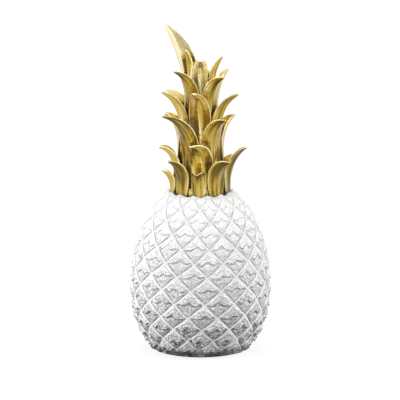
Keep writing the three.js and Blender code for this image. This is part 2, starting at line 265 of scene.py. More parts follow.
@dataclass(frozen=True)
class WhitePaint:
    """Matt white paint over chiselled cast resin, with painted shade: greyer in the grooves, and a near-black
    painted shadow in the clefts below the lips, in patches under the lips towards the foot and round the
    foot's edge.

    Levels are in metres. The ridge's rise and the cleft's drop from the lip are in the tile's own measure.
    """

    crest: Colour = (0.93, 0.93, 0.92)
    # The groove colour is painted shade in the grooves between the scales.
    groove: Colour = (0.73, 0.745, 0.775)
    # A near-black painted shadow for the clefts below the lips, under the lips near the foot and round the
    # foot's edge.
    dust: Colour = (0.09, 0.09, 0.095)
    cloud_shade: float = 0.96
    cloud_share: float = 0.5
    roughness: float = 0.52
    roughness_spread: float = 0.25
    chips_per_metre: float = 520.0
    cuts_per_metre: float = 300.0
    grain_per_metre: float = 1100.0
    strokes: float = 3.4
    stroke_drift: float = 0.5
    chip_depth_mm: float = 4.0
    chip_floor: float = 0.57
    deepest: float = 1.3
    easings: tuple[tuple[Span, float], ...] = (
        ((0.0, 0.04), 0.3),
        ((0.0, 0.09), 0.55),
        ((0.07, 0.12), 0.25),
    )
    foot_levels: Span = (0.02, 0.07)
    groove_levels: Span = (0.02, 0.1)
    dust_levels: Span = (0.01, 0.046)
    edge_levels: Span = (0.003, 0.01)
    whole_cleft_levels: Span = (0.02, 0.08)
    cleft_drop: float = 0.075
    ridge_rise: float = 0.01

    def make(self, name: str) -> Material:
        """Makes the material.

        Args:
            name: Its name.

        Returns:
            The material.
        """
        material, bench, shader = shader_bench(name)
        place = bench.place()
        across, up, lift = bench.split(bench.held(ScaleTile.PLACE))
        lip = bench.held(ScaleTile.LIP, "Fac")
        east, _, level = bench.split(place)
        grain = bench.noise(place, self.grain_per_metre, 3.0, 0.6)
        drift = bench.noise(place, 150.0) * self.stroke_drift
        from_top = 1.0 - across.size() - up
        from_foot = 1.0 - across.size() + up
        block = from_top.step(0.2, 0.32) * from_foot.step(0.0, 0.16)
        own = (east + level) * 60.0
        arches = bench.cracks(bench.combine((from_top + drift) * self.strokes, across * 1.4, own), 1.0, 0.07)
        pleats = bench.cracks(bench.combine((from_foot + drift) * self.strokes, across * 1.8, own), 1.0, 0.07)
        marks = arches * up.step(-0.2, 0.1) + pleats * (-1.0 * up).step(-0.1, 0.2)
        cuts = bench.cracks(place, self.cuts_per_metre, 0.06)
        deep = self.deepest
        for levels, share in self.easings:
            deep = deep - level.step(*levels) * share
        foot = 1.0 - level.step(*self.foot_levels)
        ridge = 1.0 - (lip - self.ridge_rise).size().step(0.0, 0.05)
        broken = bench.noise(place, 210.0).step(0.42, 0.54) + 0.8 - level.step(*self.whole_cleft_levels) * 0.8
        cleft = (1.0 - (lip + self.cleft_drop).size().step(0.01, 0.05)) * broken.step(0.0, 1.0) * block
        chips = bench.noise(place, self.chips_per_metre, 3.0, 0.6) * (0.65 - foot * 0.3) + foot * 0.15
        chips = chips + marks * (foot * 0.1 + 0.25) - foot * 0.05 + cuts * 0.15
        chips = (chips + (ridge - cleft) * (foot * 0.4 + 0.3) - self.chip_floor) * block * deep
        # Painted shade: the grooves between the scales are painted greyer, except in the lowest rows.
        unshaded = (lift + (grain - 0.5) * 0.06).step(0.55, 0.66)
        paint = bench.mix((1.0 - unshaded) * level.step(*self.groove_levels), self.crest, self.groove)
        # Painted shadow: near-black in patches under the lips near the foot, in the clefts below the lips and
        # round the foot's edge.
        under = (1.0 - level.step(*self.dust_levels)) * (-1.0 * lip).step(0.02, 0.1)
        patches = bench.noise(place, 300.0, 2.0, 0.6).step(0.5, 0.57)
        edge = (1.0 - level.step(*self.edge_levels)) * bench.noise(place, 160.0).step(0.3, 0.5)
        shadow_share = under * patches * (1.0 - ridge) + cleft * (deep - 0.1) + edge
        paint = bench.mix(shadow_share.step(0.0, 1.0), paint, self.dust)
        cloud = bench.noise(place, 45.0, 3.0).step(0.3, 0.75)
        paint = bench.mix(cloud * self.cloud_share, paint, tuple(self.cloud_shade * c for c in self.crest))
        rough = self.roughness + (grain - 0.5) * self.roughness_spread
        worn = bench.bump(chips + grain * 0.06, self.chip_depth_mm)
        bench.wire(shader, Base_Color=paint, Roughness=rough, Normal=worn)
        return material


class Grain(Enum):
    """How the strokes of the gold paint run."""

    ALONG_LEAF = "along the leaf"
    ROUND_STEM = "round the stem"


@dataclass(frozen=True)
class GoldPaint:
    """Satin gold paint with a dark wash in random strokes, painted shade below and in the hollows, and painted
    highlights on top, along the keels and on the rims that face up.
    """

    grain: Grain
    # The dark colour is a wash in random strokes and also painted shade on the undersides, in the hollows and
    # on shaded leaves.
    wash: Colour = (0.145, 0.1, 0.019)
    gold: Colour = (0.58, 0.4, 0.07)
    light: Colour = (0.93, 0.82, 0.46)
    # A painted highlight colour for the rims that face up.
    rubbed: Colour = (0.98, 0.87, 0.53)
    metal: float = 0.85
    gloss: float = 0.4
    roughness: float = 0.26
    roughness_spread: float = 0.16
    tone: float = 0.54
    facing_share: float = 0.35
    broad_share: float = 1.3
    streak_share: float = 0.2
    blotch_share: float = 0.4
    keel_share: float = 0.12
    hollow_share: float = 1.3
    streak_depth_mm: float = 0.12
    blotch_depth_mm: float = 1.6

    def make(self, name: str) -> Material:
        """Makes the material.

        Args:
            name: Its name.

        Returns:
            The material.
        """
        material, bench, shader = shader_bench(name)
        place = bench.place()
        # Painted light: faces that look up are painted lighter and those that look down darker.
        facing = bench.split(bench.add("ShaderNodeNewGeometry").outputs["Normal"])[2]
        if self.grain is Grain.ALONG_LEAF:
            across, along, number = bench.split(bench.held(LeafBlade.PLACE))
            stroke = bench.combine(across * 1.8 + number * 7.0, along * 0.7, number * 3.0)
            fine = bench.combine(across * 8.0 + number * 5.0, along * 1.3, number)
            # Painted highlight on the rims that face up.
            rim = across.size().step(0.86, 0.96) * facing.step(-0.4, 0.3)
            # Painted highlight along each leaf's keel.
            keel = 1.0 - across.size().step(0.0, 0.12)
            # Painted shade on each leaf's inner face near the root.
            hollow = bench.math("FRACT", number) * 2.0 * (1.0 - along.step(0.56, 0.74))
            # Each leaf's painted light or shade: paler where it is lit, darker where it is shaded.
            shade = bench.held(LeafBlade.SHADE, "Fac")
        else:
            x, y, level = bench.split(place)
            stroke = bench.combine(x * 30.0, y * 30.0, level * 200.0)
            fine = bench.combine(x * 60.0, y * 60.0, level * 700.0)
            # Painted highlight on the stem's faces that look straight up.
            rim = facing.step(0.9, 1.0)
            keel = hollow = shade = facing * 0.0
        broad = bench.noise(stroke, 1.5, 1.0)
        streak = bench.noise(fine, 1.5, 2.0, 0.45)
        blotch = bench.noise(place, 75.0)
        # The tone is random strokes and blotches, plus painted light on the up-facing sides, a painted
        # highlight along the keel, painted shade in the hollow at the root and each leaf's painted light or
        # shade.
        tone = self.tone + (broad - 0.5) * self.broad_share + (streak - 0.5) * self.streak_share
        tone = tone + (blotch - 0.5) * self.blotch_share + facing * self.facing_share
        tone = tone + keel * self.keel_share - hollow * self.hollow_share + shade
        paint = bench.mix(tone.step(0.05, 0.5), self.wash, self.gold)
        paint = bench.mix(tone.step(0.5, 0.95), paint, self.light)
        paint = bench.mix(rim * streak.spread((0.25, 0.5), (0.55, 1.0)), paint, self.rubbed)
        rough = self.roughness + (blotch - 0.5) * self.roughness_spread
        worn = bench.bump(streak * self.streak_depth_mm + blotch * self.blotch_depth_mm, 1.0)
        bench.wire(shader, Metallic=self.metal, Specular_IOR_Level=self.gloss)
        bench.wire(shader, Base_Color=paint, Roughness=rough, Normal=worn)
        return material


@dataclass(frozen=True)
class BareResin:
    """Unpainted casting resin with faint swirls."""

    low: Colour = (0.62, 0.59, 0.5)
    high: Colour = (0.74, 0.71, 0.63)

    def make(self, name: str) -> Material:
        """Makes the material.

        Args:
            name: Its name.

        Returns:
            The material.
        """
        material, bench, shader = shader_bench(name)
        place = bench.place()
        swirl = bench.noise(place, 120.0, 5.0, 0.6)
        grain = bench.noise(place, 1500.0)
        bench.wire(shader, Base_Color=bench.mix(swirl, self.low, self.high), Roughness=0.55 + swirl * 0.2)
        bench.wire(shader, Normal=bench.bump(grain, 0.1, 0.4))
        return material


@dataclass(frozen=True)
class WoolFelt:
    """Dark pressed felt with short loose fibres."""

    low: Colour = (0.012, 0.012, 0.014)
    high: Colour = (0.05, 0.05, 0.055)
    sheen: float = 0.4

    def make(self, name: str) -> Material:
        """Makes the material.

        Args:
            name: Its name.

        Returns:
            The material.
        """
        material, bench, shader = shader_bench(name)
        place = bench.place()
        fibre = bench.noise(place, 2500.0, 5.0, 0.7)
        tuft = bench.noise(place, 350.0, 3.0)
        colour = bench.mix(fibre * 0.7 + tuft * 0.3, self.low, self.high)
        bench.wire(shader, Base_Color=colour, Roughness=0.92 + fibre * 0.06, Sheen_Weight=self.sheen)
        bench.wire(shader, Normal=bench.bump(fibre, 0.2, 0.8))
        return material


@dataclass(frozen=True)
class DrawnSteel:
    """Plain steel rod with fine lines along its length."""

    low: Colour = (0.45, 0.46, 0.48)
    brightening: float = 1.15

    def make(self, name: str) -> Material:
        """Makes the material.

        Args:
            name: Its name.

        Returns:
            The material.
        """
        material, bench, shader = shader_bench(name)
        x, y, level = bench.split(bench.place())
        lines = bench.noise(bench.combine(x * 60.0, y * 60.0, level), 40.0, 3.0)
        high = tuple(self.brightening * c for c in self.low)
        bench.wire(shader, Base_Color=bench.mix(lines, self.low, high), Roughness=0.28 + lines * 0.15)
        bench.wire(shader, Metallic=1.0, Normal=bench.bump(lines, 0.05, 0.5))
        return material


# Meshes


def bell(values: Array, width: float) -> Array:
    """A bell curve that is 1 where the values are 0."""
    return np.exp(-((values / width) ** 2))


def unit(values: Array) -> Array:
    """The values, held between 0 and 1."""
    return np.clip(values, 0.0, 1.0)


def mesh_of(name: str, points: list, faces: list, held: dict[str, Array] | None = None) -> Mesh:
    """Makes a mesh.

    Args:
        name: Its name.
        points: The coordinates of its points.
        faces: The points of each face.
        held: What the points hold, by name: a row of numbers, or of vectors.

    Returns:
        The mesh.
    """
    mesh = bpy.data.meshes.new(name)
    mesh.from_pydata(points, [], faces)
    for key, values in (held or {}).items():
        kind, part = ("FLOAT_VECTOR", "vector") if values.ndim == 2 else ("FLOAT", "value")
        mesh.attributes.new(key, kind, "POINT").data.foreach_set(part, values.astype(np.float32).ravel())
    return mesh


def quads_of(sheet: Array) -> list[list[int]]:
    """The quads between the neighbours in a grid of points' numbers."""
    corners = (sheet[:-1, :-1], sheet[:-1, 1:], sheet[1:, 1:], sheet[1:, :-1])
    return np.stack(corners, axis=-1).reshape(-1, 4).tolist()


def stepped(radii: Sequence[float], levels: Sequence[float]) -> list[Span]:
    """Radius and level of the corners of steps, from the first radius and level to the last."""
    return [(radius, level) for i, level in enumerate(levels) for radius in radii[i : i + 2]]


def placed(name: str, data: ID) -> Object:
    """Puts a new object in the scene.

    Args:
        name: Its name.
        data: Its mesh, curve, camera or lamp.

    Returns:
        The object, at the origin.
    """
    thing = bpy.data.objects.new(name, data)
    bpy.context.scene.collection.objects.link(thing)
    return thing


def tidy_object(name: str, mesh: Mesh, sharp_degrees: float) -> Object:
    """Merges a mesh's doubles, turns its faces outwards and puts it in the scene.

    Args:
        name: The object's name.
        mesh: Its mesh, with every closed shell in place.
        sharp_degrees: Edges that bend more than this stay crisp.

    Returns:
        The object, at the origin.
    """
    work = bmesh.new()
    work.from_mesh(mesh)
    bmesh.ops.remove_doubles(work, verts=work.verts, dist=0.002 * MM)
    bmesh.ops.dissolve_degenerate(work, edges=work.edges, dist=0.0005 * MM)
    bmesh.ops.recalc_face_normals(work, faces=work.faces)
    work.to_mesh(mesh)
    work.free()
    mesh.shade_smooth()
    mesh.set_sharp_from_angle(angle=math.radians(sharp_degrees))
    return placed(name, mesh)


def turned_object(name: str, outline: Sequence[Span], sides: int) -> Object:
    """Makes a turned piece.

    Args:
        name: The object's name.
        outline: Radius and level in millimetres, from the axis round to the axis.
        sides: Points round it.

    Returns:
        The object.
    """
    turns = np.linspace(0.0, 2.0 * math.pi, sides, endpoint=False)
    points = [(r * math.cos(a) * MM, r * math.sin(a) * MM, z * MM) for r, z in outline for a in turns]
    number = np.arange(len(points)).reshape(-1, sides)
    faces = quads_of(np.concatenate((number, number[:, :1]), axis=1))
    return tidy_object(name, mesh_of(name, points, faces), 35.0)


def dress(piece: Object, material: Material) -> None:
    """Gives every slot of an object one material.

    Args:
        piece: The object.
        material: The material.
    """
    if not piece.material_slots:
        piece.data.materials.append(material)
    for held in piece.material_slots:
        held.material = material


def seat(piece: Object, nodes: Iterable[str]) -> None:
    """Rides a finished piece on the object's one body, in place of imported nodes.

    Args:
        piece: The piece.
        nodes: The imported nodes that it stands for.
    """
    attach(piece, ROOT_BODY)
    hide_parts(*nodes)
    LOG.info("%s: %d faces", piece.name, len(piece.data.polygons))


# Casting


@dataclass(frozen=True)
class EggOutline:
    """The outline over the crests of the scales: two superellipses that meet at the widest level."""

    shoulder_level: float = 123.0
    widest_level: float = 48.3
    widest_radius: float = 54.0
    shoulder_radius: float = 25.2
    base_radius: float = 37.5
    upper_bulge: float = 2.04
    lower_bulge: float = 2.25
    foot_level: float = 0.8
    samples: int = 400

    def radius_at(self, level: float) -> float:
        """The radius at a level.

        Args:
            level: A level between the foot and the shoulder.

        Returns:
            The radius.
        """
        above = level > self.widest_level
        bulge = self.upper_bulge if above else self.lower_bulge
        span = self.shoulder_level - self.widest_level if above else self.widest_level - self.foot_level
        end_share = (self.shoulder_radius if above else self.base_radius) / self.widest_radius
        away = abs(level - self.widest_level) / span * (1.0 - end_share**bulge) ** (1.0 / bulge)
        return self.widest_radius * (1.0 - away**bulge) ** (1.0 / bulge)

    def points(self) -> list[Span]:
        """Radius and level from the foot up."""
        levels = np.linspace(self.foot_level, self.shoulder_level, self.samples + 1)
        return [(self.radius_at(level), level) for level in levels]

    def length(self) -> float:
        """The length of the outline along the skin."""
        steps = np.diff(np.array(self.points()), axis=0)
        return float(np.hypot(steps[:, 0], steps[:, 1]).sum())

    def curve(self) -> Object:
        """Puts the outline in the scene as a curve in the XZ plane, in metres.

        Returns:
            The curve object.
        """
        curve = bpy.data.curves.new("egg_outline", "CURVE")
        curve.dimensions = "3D"
        spline = curve.splines.new("POLY")
        spline.points.add(self.samples)
        for point, (radius, level) in zip(spline.points, self.points()):
            point.co = (radius * MM, 0.0, level * MM, 1.0)
        return placed("egg_outline", curve)


@dataclass(frozen=True)
class ScaleTile:
    """One carved scale on a unit diamond.

    Across and up run from -1 to 1 between its corners, and lift runs from 0 to 1.
    """

    PLACE = "scale_place"
    LIP = "scale_lip"

    fineness: int = 22
    edge_crowding: float = 0.15
    groove_width: float = 0.05
    crevice: float = 0.05
    band_width: float = 0.15
    band_level: float = 0.44
    band_rise: float = 0.04
    block_overhang: float = 0.04
    block_slope: float = 0.18
    foot_slope: float = 0.26
    corner_rounding: float = 0.26
    corner_reach: float = 0.22
    lip_level: float = -0.02
    lip_tip: float = 0.16
    tip_width: float = 0.17
    lip_dip: float = 0.1
    dip_place: float = 0.4
    dip_width: float = 0.2
    lip_width: float = 0.06
    ledge_width: float = 0.022
    upper_level: float = 0.78
    upper_lines: tuple[tuple[float, float], ...] = ((0.38, -0.16), (0.53, 0.13), (0.68, -0.12))
    upper_line_width: float = 0.07
    lower_level: float = 0.76
    lower_lines: tuple[float, ...] = (0.16, 0.34, 0.52)
    lower_line_width: float = 0.055
    hollow_place: float = 0.11
    hollow_width: float = 0.08
    hollow_depth: float = 0.3

    def rounding(self, across: Array, up: Array) -> Array:
        """How far the scale's rounded corners draw its outline in, which is 0 away from them."""
        ends = bell(across, self.corner_reach) * np.where(up < 0.0, 1.0, 0.5)
        return self.corner_rounding * np.maximum(bell(up, 0.2) * 0.7, ends)

    def lip_line(self, across: Array, slant: float) -> Array:
        """The height of the lip, which dips on both sides of a raised tip.

        Args:
            across: Places across the scale.
            slant: How far the lip slants and its tip leans to one side.

        Returns:
            How far up the lip lies there.
        """
        tip = self.lip_tip * bell(across - slant, self.tip_width)
        dip = self.lip_dip * bell(np.abs(across - slant) - self.dip_place, self.dip_width)
        return self.lip_level + slant * across + tip - dip

    def upper_face(
        self, across: Array, above: Array, inset: Array, draw: random.Random
    ) -> Array:
        """The face above the lip, with lines along its upper edges and two shallow rings.

        Args:
            across: Places across the scale.
            above: How far above the lip they lie.
            inset: How far inside the upper edges they lie.
            draw: Picks the irregularities.

        Returns:
            The lift share.
        """
        lift = self.upper_level + 0.08 * np.exp(-np.abs(above) / 0.2)
        middle = bell(across, 0.5)
        for place, height in self.upper_lines:
            line = bell(inset - place, self.upper_line_width)
            lift = lift + draw.uniform(0.4, 1.2) * height * line * middle
        for side in (-1.0, 1.0):
            beside = (across - side * draw.uniform(0.24, 0.32)) / 0.2
            ring = np.hypot(beside, (above - draw.uniform(0.1, 0.16)) / 0.1)
            lift = lift + draw.uniform(-0.02, 0.18) * bell(ring - 1.0, 0.3)
        return lift

    def lower_face(
        self, across: Array, up: Array, below: Array, turn: float, draw: random.Random
    ) -> Array:
        """The face below the lip: a hollow under the lip, faint lines along it and a fan of pleats.

        Args:
            across: Places across the scale.
            up: Places up the scale.
            below: How far below the lip they lie.
            turn: Where the pleats start.
            draw: Picks the irregularities.

        Returns:
            The lift share.
        """
        hollow = bell(below - self.hollow_place, self.hollow_width)
        lift = self.lower_level - 0.1 * below - self.hollow_depth * hollow
        for place in self.lower_lines:
            line = bell(below - place - draw.uniform(-0.03, 0.03), self.lower_line_width)
            lift = lift + draw.uniform(-0.1, 0.1) * line
        fan = np.arctan2(across, up + 1.2)
        pleats = np.cos(draw.uniform(19.0, 25.0) * fan + turn) * draw.uniform(0.04, 0.08)
        return lift + pleats * unit(below / 0.12)

    def lift(self, across: Array, up: Array, seed: int) -> tuple[Array, Array]:
        """The carved height of one scale, lowest in the crevice round it.

        Args:
            across: Places across the scale.
            up: Places up the scale.
            seed: Picks its small irregularities.

        Returns:
            The lift share at each place, and how far above the lip the place lies.
        """
        draw = random.Random(seed)
        turns = [draw.uniform(0.0, 2.0 * math.pi) for _ in range(8)]
        a = across + 0.045 * np.sin(3.1 * up + turns[0]) + 0.03 * np.sin(7.3 * across + 5.0 * up + turns[1])
        u = up + 0.045 * np.sin(3.7 * across + turns[2]) + 0.03 * np.sin(8.1 * across - 4.0 * up + turns[3])
        rounding = self.rounding(across, up)
        from_top = 1.0 - np.abs(across) - up - rounding
        from_foot = 1.0 - np.abs(across) + up - rounding
        edge = unit(1.0 - np.abs(across) - np.abs(up))
        inset = from_top + 0.05 * np.sin(9.0 * a + turns[4]) * np.sin(7.0 * u + turns[5])
        above = u - self.lip_line(a, draw.uniform(-0.12, 0.12)) - draw.uniform(-0.05, 0.05)
        upper = self.upper_face(a, above, inset, draw)
        lower = self.lower_face(a, u, unit(-above), turns[6], draw)
        ledge = 1.0 / (1.0 + np.exp(-above / self.ledge_width))
        lip = draw.uniform(0.18, 0.28) * bell(above, self.lip_width) * unit(1.0 - np.abs(a) ** 3)
        chips = 0.05 * np.sin(13.0 * a + 9.0 * u + turns[7]) * np.sin(11.0 * u - 8.0 * a + turns[0])
        carved = unit(ledge * upper + (1.0 - ledge) * lower + lip + chips)
        block = unit((inset - self.band_width + self.block_overhang) / self.block_slope)
        block = block * unit(from_foot / self.foot_slope)
        block = block * block * (3.0 - 2.0 * block)
        band = self.band_level + self.band_rise * unit(edge / self.band_width)
        return band + (carved - band) * block - self.crevice * np.exp(-edge / self.groove_width), above

    def mesh_object(self, number: int) -> Object:
        """One carved scale as a flat diamond of triangles.

        Args:
            number: Names it and seeds its irregularities.

        Returns:
            The tile, which isn't in the scene.
        """
        count = self.fineness + 1
        even = np.linspace(0.0, 1.0, count)
        place = even - self.edge_crowding * np.sin(2.0 * math.pi * even) / (2.0 * math.pi)
        east, west = np.meshgrid(place, place, indexing="ij")
        across, up = east - west, east + west - 1.0
        lift, above = self.lift(across, up, number)
        points = np.stack((across, up, lift), axis=-1).reshape(-1, 3)
        faces = []
        for south, left, north, right in quads_of(np.arange(count**2).reshape(count, count)):
            faces += [(south, right, left), (right, north, left)]
        held = {self.PLACE: points, self.LIP: above.ravel()}
        mesh = mesh_of(f"scale_tile_{number}", points.tolist(), faces, held)
        return bpy.data.objects.new(mesh.name, mesh)


@dataclass(frozen=True)
class ScaleLattice:
    """Geometry nodes that lay carved scales round the outline, every other row half a scale round.

    Rings count the half rows from the foot up, and levels are in metres.
    """

    outline: EggOutline = EggOutline()
    tile: ScaleTile = ScaleTile()
    scales_round: int = 14
    half_rows: int = 13
    foot_length: float = 0.8
    first_row_length: float = 6.8
    phase_degrees: float = -2.7
    twist_degrees: float = 1.24
    relief_share: float = 0.058
    tip_rise: float = 1.0
    tip_sharpness: float = 1.3
    dip_drop: float = 1.2
    rim_rings: float = 0.8
    foot_deepening: float = 3.6
    deepened_rings: Span = (0.0, 8.0)
    top_easing: float = 0.45
    eased_rings: Span = (9.0, 12.0)
    unevenness: float = 0.5
    swell_per_metre: float = 90.0
    inward_share: float = 0.85
    wander: float = 2.2
    wander_per_metre: float = 70.0
    foot_levels: Span = (0.006, 0.02)
    top_level: float = 0.122
    weld: float = 0.01
    tile_kinds: int = 9
    seed: int = 11

    def inputs(self) -> dict[str, int | float]:
        """The numbers that the tree gets.

        Returns:
            The values by name, with lengths in metres and angles in radians.
        """
        counts = ("scales_round", "half_rows", "tile_kinds", "seed")
        shares = ("relief_share", "foot_deepening", "top_easing")
        lengths = ("foot_length", "first_row_length", "tip_rise", "dip_drop", "unevenness", "wander")
        return {
            **{name: getattr(self, name) for name in counts + shares},
            **{name: getattr(self, name) * MM for name in lengths},
            "row_pitch": (self.outline.length() - self.first_row_length) / (self.half_rows - 1) * MM,
            "start_angle": math.radians(FRONT + self.phase_degrees),
            "row_twist": math.radians(self.twist_degrees),
        }

    def tree(self, paint: Material) -> NodeTree:
        """Builds the tree.

        Args:
            paint: The material that it ends with.

        Returns:
            The tree.
        """
        tree = bpy.data.node_groups.new("scale_lattice", "GeometryNodeTree")
        kinds = {"skin": "Geometry", "outline": "Object", "tiles": "Collection"}
        kinds |= {name: "Int" if isinstance(value, int) else "Float" for name, value in self.inputs().items()}
        for name, kind in kinds.items():
            tree.interface.new_socket(name, in_out="INPUT", socket_type=f"NodeSocket{kind}")
        tree.interface.new_socket("skin", in_out="OUTPUT", socket_type="NodeSocketGeometry")
        bench = Bench(tree)
        sockets = bench.add("NodeGroupInput").outputs
        given = SimpleNamespace(**{s.name: Signal(bench, s) for s in sockets if s.name})
        skin = self.wrapped(bench, given, self.flat_tiles(bench, given))
        whole = bench.run("GeometryNodeRealizeInstances", Geometry=skin)
        painted = bench.run("GeometryNodeSetMaterial", Geometry=whole, Material=paint)
        bench.feed(bench.add("NodeGroupOutput").inputs[0], painted)
        return tree

    def flat_tiles(self, bench: Bench, given: SimpleNamespace) -> Signal:
        """Lays the tiles on a flat sheet of columns and rings.

        Args:
            bench: The tree's bench.
            given: The tree's inputs.

        Returns:
            The sheet, with x the column, y the ring and z the lift share.
        """
        index = bench.run("GeometryNodeInputIndex")
        ring = bench.math("FLOOR", (index + 0.5) / given.scales_round)
        column = index - ring * given.scales_round + bench.math("MODULO", ring, 2.0) * 0.5
        count = given.scales_round * (given.half_rows + 1.0)
        spots = bench.run("GeometryNodePoints", Count=count, Position=bench.combine(column, ring, 0.0))
        tiles = bench.add("GeometryNodeCollectionInfo")
        bench.wire(tiles, Collection=given.tiles, Separate_Children=True, Reset_Children=True)
        kind = bench.add("FunctionNodeRandomValue", data_type="INT")
        for socket, value in ((4, 0), (5, given.tile_kinds - 1.0), ("Seed", given.seed)):
            bench.feed(kind.inputs[socket], value)
        laid = bench.add("GeometryNodeInstanceOnPoints")
        bench.wire(laid, Points=spots, Instance=tiles.outputs[0], Pick_Instance=True)
        bench.wire(laid, Instance_Index=kind.outputs[2], Scale=(0.5, 1.0, 1.0))
        flat = bench.run("GeometryNodeRealizeInstances", Geometry=laid.outputs[0])
        row = bench.split(bench.run("GeometryNodeInputPosition"))[1]
        half = given.half_rows / 2.0
        outside = bench.math("GREATER_THAN", (row - half).size(), half)
        cut = bench.add("GeometryNodeDeleteGeometry", domain="FACE")
        return bench.wire(cut, Geometry=flat, Selection=outside)

    def wrapped(self, bench: Bench, given: SimpleNamespace, flat: Signal) -> Signal:
        """Wraps the flat sheet round the outline, welds it and makes it slightly uneven.

        Args:
            bench: The tree's bench.
            given: The tree's inputs.
            flat: The flat sheet.

        Returns:
            The skin.
        """
        column, ring, lift = bench.split(bench.run("GeometryNodeInputPosition"))
        first = given.foot_length + (given.first_row_length - given.foot_length) * ring
        later = given.first_row_length + given.row_pitch * (ring - 1.0)
        arc = first + (later - first) * bench.math("GREATER_THAN", ring, 1.0)
        outline = bench.add("GeometryNodeObjectInfo")
        bench.wire(outline, Object=given.outline)
        along = bench.add("GeometryNodeSampleCurve", mode="LENGTH")
        bench.wire(along, Curves=outline.outputs["Geometry"], Length=arc)
        crest, _, level = bench.split(along.outputs["Position"])
        run, _, climb = bench.split(along.outputs["Tangent"])
        turn = 2.0 * math.pi * column / given.scales_round
        relief = given.relief_share * (2.0 * math.pi) / given.scales_round * crest
        lowness = 1.0 - ring.step(*self.deepened_rings)
        easing = 1.0 - given.top_easing * ring.step(*self.eased_rings)
        sink = relief * (easing + given.foot_deepening * lowness) * (lift - 1.0)
        near_tip = ((column - bench.math("FLOOR", column) - 0.5).size() * 2.0) ** self.tip_sharpness
        shift = near_tip * (given.tip_rise + given.dip_drop) - given.dip_drop
        near_rim = (ring - given.half_rows).step(-self.rim_rings, 0.0)
        radius = crest + sink * climb
        angle = given.start_angle + given.row_twist * ring + turn
        height = level - sink * run + shift * near_rim
        east, north = (radius * bench.math(name, angle) for name in ("COSINE", "SINE"))
        place = bench.combine(east, north, height)
        skin = bench.run("GeometryNodeSetPosition", Geometry=flat, Position=place)
        weld = bench.run("GeometryNodeMergeByDistance", Geometry=skin, Distance=self.weld * MM)
        return bench.run("GeometryNodeSetPosition", Geometry=weld, Offset=self.unevenly(bench, given))

    def unevenly(self, bench: Bench, given: SimpleNamespace) -> Signal:
        """How far each point of the skin is moved: in or out along its normal, and sideways and up or down.

        Args:
            bench: The tree's bench.
            given: The tree's inputs.

        Returns:
            The move.
        """
        spot = bench.run("GeometryNodeInputPosition")
        x, y, z = bench.split(spot)
        out = (x * x + y * y) ** 0.5
        sway, rise = (
            (bench.noise(bench.combine(x, y, z + shift), self.wander_per_metre, 1.0) - 0.5) * given.wander
            for shift in (1.0, 2.0)
        )
        rise = rise * z.step(*self.foot_levels) * (self.top_level - z).step(0.0, 0.01)
        drift = bench.combine(sway * y / out * -1.0, sway * x / out, rise)
        swell = (bench.noise(spot, self.swell_per_metre) - self.inward_share) * given.unevenness
        push = bench.add("ShaderNodeVectorMath", operation="SCALE")
        bench.wire(push, Vector=bench.run("GeometryNodeInputNormal"), Scale=swell)
        return bench.fill(bench.add("ShaderNodeVectorMath", operation="ADD"), push.outputs[0], drift)

    def skin_mesh(self, paint: Material) -> Mesh:
        """Runs the tree.

        Args:
            paint: The skin's material.

        Returns:
            The skin as a plain mesh, open at the rim and at the foot.
        """
        tiles = bpy.data.collections.new("scale_tiles")
        for number in range(self.tile_kinds):
            tiles.objects.link(self.tile.mesh_object(number))
        host = placed("fruit_skin", bpy.data.meshes.new("fruit_skin"))
        guide = self.outline.curve()
        modifier = host.modifiers.new("scales", "NODES")
        modifier.node_group = self.tree(paint)
        values = {**self.inputs(), "outline": guide, "tiles": tiles}
        for item in modifier.node_group.interface.items_tree:
            if item.in_out == "INPUT" and item.name in values:
                modifier[item.identifier] = values[item.name]
        evaluated = host.evaluated_get(bpy.context.evaluated_depsgraph_get())
        mesh = bpy.data.meshes.new_from_object(evaluated)
        host.modifiers.remove(modifier)
        for held in (host, guide, *tiles.objects):
            bpy.data.objects.remove(held)
        bpy.data.collections.remove(tiles)
        return mesh


